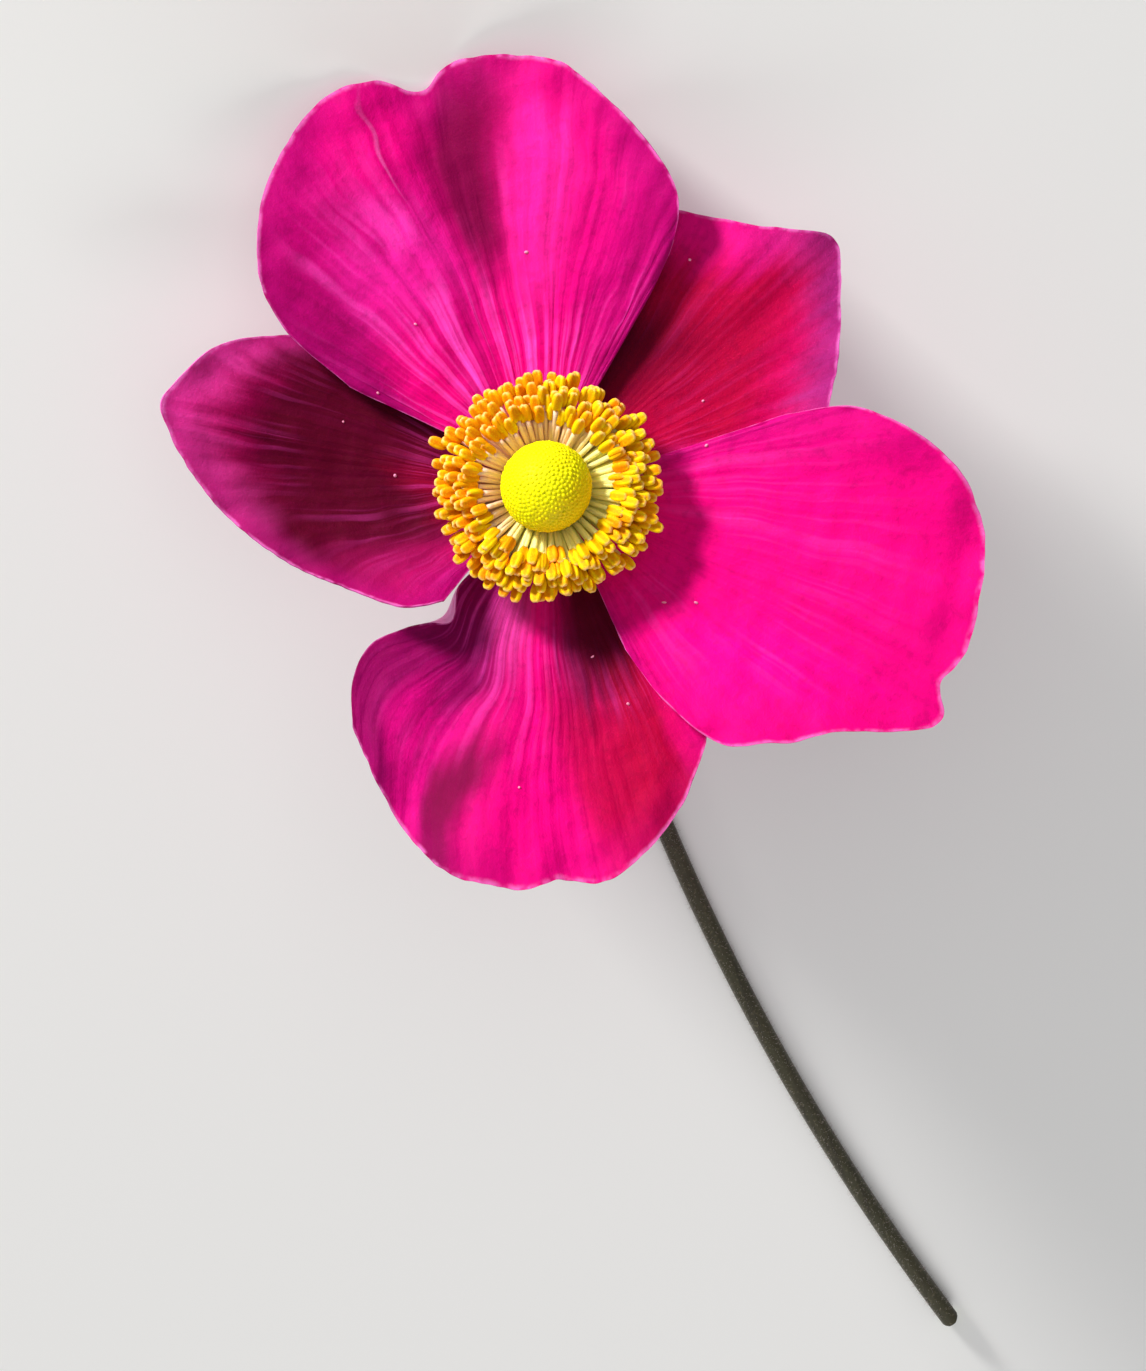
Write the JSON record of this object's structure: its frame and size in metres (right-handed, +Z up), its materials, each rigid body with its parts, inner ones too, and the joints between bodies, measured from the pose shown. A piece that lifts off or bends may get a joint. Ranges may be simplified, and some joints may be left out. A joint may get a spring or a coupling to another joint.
{
  "type": "japanese anemone flower",
  "caption": "Open single bloom with broad magenta petals, a ring of golden stamens and a green head, picked on a bare stalk and lying on a surface.",
  "frame": {"origin": "on the surface that the flower lies on, under the middle of its bounding box", "axes": "+X along the lying stalk towards the bloom, +Y across it, +Z up from the surface"},
  "size_m": [0.1284, 0.0584, 0.0331],
  "materials": {
    "petal": "velvety magenta petal with fine veins and paler lilac margins",
    "stamens": "matt golden anthers on pale cream filaments",
    "carpel_head": "matt lime-yellow, finely granular",
    "stalk": "matt dark purple-brown with fine grey hairs, pale green at the cut"
  },
  "bodies": {
    "root": {"petal_top": "petal", "petal_right": "petal", "petal_upper_right": "petal", "petal_left": "petal", "petal_bottom": "petal", "stamens": "stamens", "carpel_head": "carpel_head", "stalk": "stalk"}
  },
  "joints": []
}
